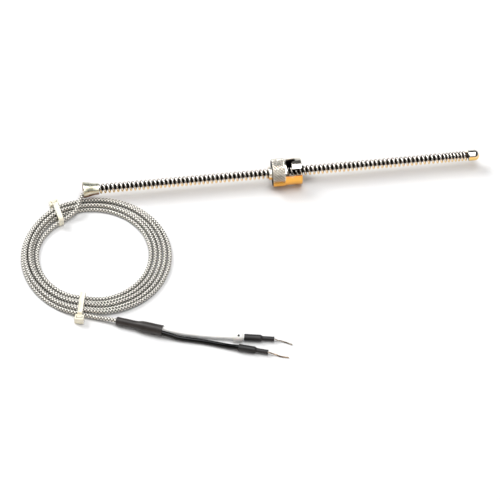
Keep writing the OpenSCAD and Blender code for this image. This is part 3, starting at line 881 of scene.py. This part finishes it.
SHOULDER_X = 94.6
spigot = [(90.5, 1.15), (90.5, 1.3), (90.6, 1.35), (94.45, 1.35), (94.5, 1.4), (94.5, 2.55)]
shoulder = [(SHOULDER_X, 2.7), (94.75, 2.75), (97.7, 2.75)]
nose = []
for t in np.linspace(0.08, math.pi / 2, 20):
    nose.append((97.7 + 2.3 * math.sin(t), 2.75 * max(0.0, math.cos(t)) ** 0.85))
tip_bore = [(97.5, 0.0), (97.5, 1.1), (97.45, 1.15), (95, 1.15)]
tip_profile = spigot + shoulder + nose + tip_bore
tip = lathe("probe_tip_shell", tip_profile, 72, tip_metal, TIP, slot="tip_metal",
            replaces=("probe_tip",), turn=30)
# The spigot, inside the spring, gets a dark, rough metal: painted shade.
tip.data.materials.append(spigot_metal)
for face in tip.data.polygons:
    face.material_index = int(face.center.x < SHOULDER_X * MM)

bush_profile = [
    (-6.5, 2.75), (-6.5, 3.0), (-6.4, 3.15), (-6.2, 3.28), (-5.9, 3.3), (-4.85, 3.3), (-3.3, 3.3),
    (-3.3, 4.4), (-3.2, 4.5), (-2.4, 4.5), (-2.3, 4.4), (-2.3, 2.75), (-4, 2.75),
]
lathe("cap_bush_ring", bush_profile, 72, bush_metal, CAP, slot="bush_metal", replaces=("cap_bush",), turn=40)

# ---------------------------------------------------------------- bayonet cap

KNURL_X0, KNURL_X1, CAP_END = -4.8, 1.6, 10.1
KNURL_R, KNURL_DEPTH = 7.0, 0.46
DIAMONDS = 28
RUN_X, SEAT_X = 3.8, 5.8
SLOT_R, WALL_R = 1.5, 6.45
CUT_IN, CUT_OUT = 5.4, 7.8
ENTRY, SEAT = 131.5, 69.5


def knurled(x, angle, r):
    """Cuts a diamond knurl into the band: two sets of V grooves that cross, one shallower than the other."""
    pitch = 2 * math.pi * KNURL_R * MM / DIAMONDS

    def groove(phase):
        part = np.abs((phase % 1) - 0.5) * 2
        return np.clip(part * 1.5, 0, 1)

    first = 0.6 + 0.4 * groove(DIAMONDS * angle / (2 * math.pi) + x / pitch)
    second = groove(DIAMONDS * angle / (2 * math.pi) - x / pitch)
    depth = KNURL_DEPTH * MM * (1 - np.minimum(first, second))
    inside_band = (step_up((x / MM - KNURL_X0 - 0.3) / 0.3) * step_up((KNURL_X1 - 0.15 - x / MM) / 0.3)
                   * (r > 6.3 * MM))
    return r - depth * inside_band


band_steps = int((KNURL_X1 - KNURL_X0 - 0.8) / 0.125) + 1
band = [(KNURL_X0 + 0.6 + 0.125 * i, KNURL_R) for i in range(band_steps)]
band += [(KNURL_X1 - 0.12, KNURL_R), (KNURL_X1 - 0.02, 6.9)]
chamfer = [(KNURL_X0 + 0.6 * i / 5, 6.35 + 0.65 * math.sin(math.pi / 2 * i / 5)) for i in range(5)]
sleeve = [(KNURL_X1, 6.75)] + [(KNURL_X1 + 0.4 + i, 6.75) for i in range(8)]
rim = arc(CAP_END - 0.3, 6.45, 0.3, 90, 10, 4) + [(CAP_END, 6.35), (CAP_END, 6.15), (CAP_END - 0.08, 6.1)]
cap_bore = [(5, 6.1), (0, 6.1), (-3.2, 6.1), (-3.3, 6.0), (-3.3, 3.3)]
cap_profile = [(KNURL_X0, 3.3), (KNURL_X0, 5.9)] + chamfer + band + sleeve + rim + cap_bore
cap = lathe("bayonet_cap_shell", cap_profile, 320, cap_metal, None, radius_of=knurled, turn=24)


def cutter(name, vertices, faces):
    """A solid that cuts a slot through the cap's wall."""
    obj = piece(name, vertices, faces, cap_metal, None, smooth=False)
    mend(obj)
    return obj


def arc_block(name, a0, a1, x0, x1, n=40):
    """A cutter between two angles and two places along the cap."""
    vertices = []
    for a in np.linspace(math.radians(a0), math.radians(a1), n + 1):
        for x, r in ((x0, CUT_IN), (x1, CUT_IN), (x1, CUT_OUT), (x0, CUT_OUT)):
            vertices.append((x * MM, r * math.cos(a) * MM, r * math.sin(a) * MM + AXIS_Z))
    faces = []
    for i in range(n):
        a, b = 4 * i, 4 * i + 4
        faces += [(a + k, a + (k + 1) % 4, b + (k + 1) % 4, b + k) for k in range(4)]
    faces += [(0, 1, 2, 3), (4 * n + 3, 4 * n + 2, 4 * n + 1, 4 * n)]
    return cutter(name, vertices, faces)


def peg(name, angle, x, sides=48):
    """A round cutter at an angle and a place along the cap, for a slot's rounded end or corner."""
    a = math.radians(angle)
    out = np.array([0, math.cos(a), math.sin(a)])
    side = np.array([0, -math.sin(a), math.cos(a)])
    k = (np.arange(sides) / sides * 2 * math.pi)[:, None]
    circle = SLOT_R * (np.array([1.0, 0, 0]) * np.cos(k) + side * np.sin(k))
    ring = np.array([x, 0, AXIS_Z / MM]) + circle
    vertices = np.vstack([ring + out * CUT_IN, ring + out * CUT_OUT]) * MM
    faces = [(j, (j + 1) % sides, sides + (j + 1) % sides, sides + j) for j in range(sides)]
    faces += [tuple(range(sides)), tuple(sides + j for j in range(sides))]
    return cutter(name, vertices, faces)


HALF = math.degrees(SLOT_R / WALL_R)
for flip in (0, 180):
    cut(cap, [
        arc_block("entry", ENTRY - HALF + flip, ENTRY + HALF + flip, RUN_X, CAP_END + 2, 8),
        peg("corner", ENTRY + flip, RUN_X),
        arc_block("run", SEAT + flip, ENTRY + flip, RUN_X - SLOT_R, RUN_X + SLOT_R),
        arc_block("seat", SEAT - HALF + flip, SEAT + HALF + flip, RUN_X, SEAT_X, 8),
        peg("seat_back", SEAT + flip, RUN_X),
        peg("seat_front", SEAT + flip, SEAT_X),
    ])
cap.data.shade_smooth()
cap.data.set_sharp_from_angle(angle=math.radians(24))
cap.data.materials.clear()
cap.data.materials.append(cap_metal)
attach(cap, CAP)
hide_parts("bayonet_cap")

# ---------------------------------------------------------------- pieces shown as CAD made them

shown_as_cad = {
    "crimp_sleeve": washer_metal,
    "tip_cement": cement,
    "hot_junction": bead_metal,
    "thread_insert": steel_wire,
    "cap_washer": washer_metal,
    "positive_lead_core": black_braid,
    "negative_lead_core": glass_braid,
}
for node, material in shown_as_cad.items():
    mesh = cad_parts[node].data
    mesh.materials.clear()
    mesh.materials.append(material)

# ---------------------------------------------------------------- floor, cards and light

paper = Nodes("floor")
mottle = paper.noise(paper.object_place(), 60, 4)
floor_colour = paper.mix(paper.spread(mottle, 0, 1, 0.3, 0.7), rgb(233, 233, 233), rgb(231, 231, 232))
paper.wire(Base_Color=floor_colour, Roughness=paper.spread(mottle, 0.6, 0.75))
corners = [(-3, -3, 0), (3, -3, 0), (3, 3, 0), (-3, 3, 0)]
floor = piece("floor", corners, [(0, 1, 2, 3)], paper.material, None, smooth=False)

world = bpy.data.worlds.new("studio")
world.use_nodes = True
world.node_tree.nodes["Background"].inputs["Color"].default_value = (1, 1, 1, 1)
world.node_tree.nodes["Background"].inputs["Strength"].default_value = 0.08
scene.world = world


def light(name, place, aim, size, brightness, colour=(1, 1, 1)):
    """A rectangular soft light of a stated brightness, where 1 is the white of the floor."""
    data = bpy.data.lights.new(name, "AREA")
    data.shape = "RECTANGLE"
    data.size = size[0]
    data.size_y = size[1]
    data.energy = brightness * math.pi * size[0] * size[1]
    data.color = colour
    obj = bpy.data.objects.new(name, data)
    scene.collection.objects.link(obj)
    obj.location = place
    obj.rotation_mode = "QUATERNION"
    obj.rotation_quaternion = (Vector(aim) - Vector(place)).to_track_quat("-Z", "Y")


light("overhead_softbox", (0.2, 0.05, 2.4), (0.2, 0.051, 0), (1.5, 1.6), 5.7)
light("back_softbox", (-1.7, 1.7, 2.4), (0, 0.1, 0), (1.6, 1.4), 10.5)
light("front_softbox", (0.2, -2.0, 2.4), (0.1, -0.6, 0), (1.4, 2.0), 2.2)
light("back_wall", (0, 3.8, 0.9), (0, 0, 0.6), (7.2, 1.6), 0.6)
light("warm_card", (0, -1.8, 0.14), (0, 0, 0.1), (4.8, 0.26), 1.35, (1, 0.62, 0.3))

scene.view_settings.view_transform = "Standard"
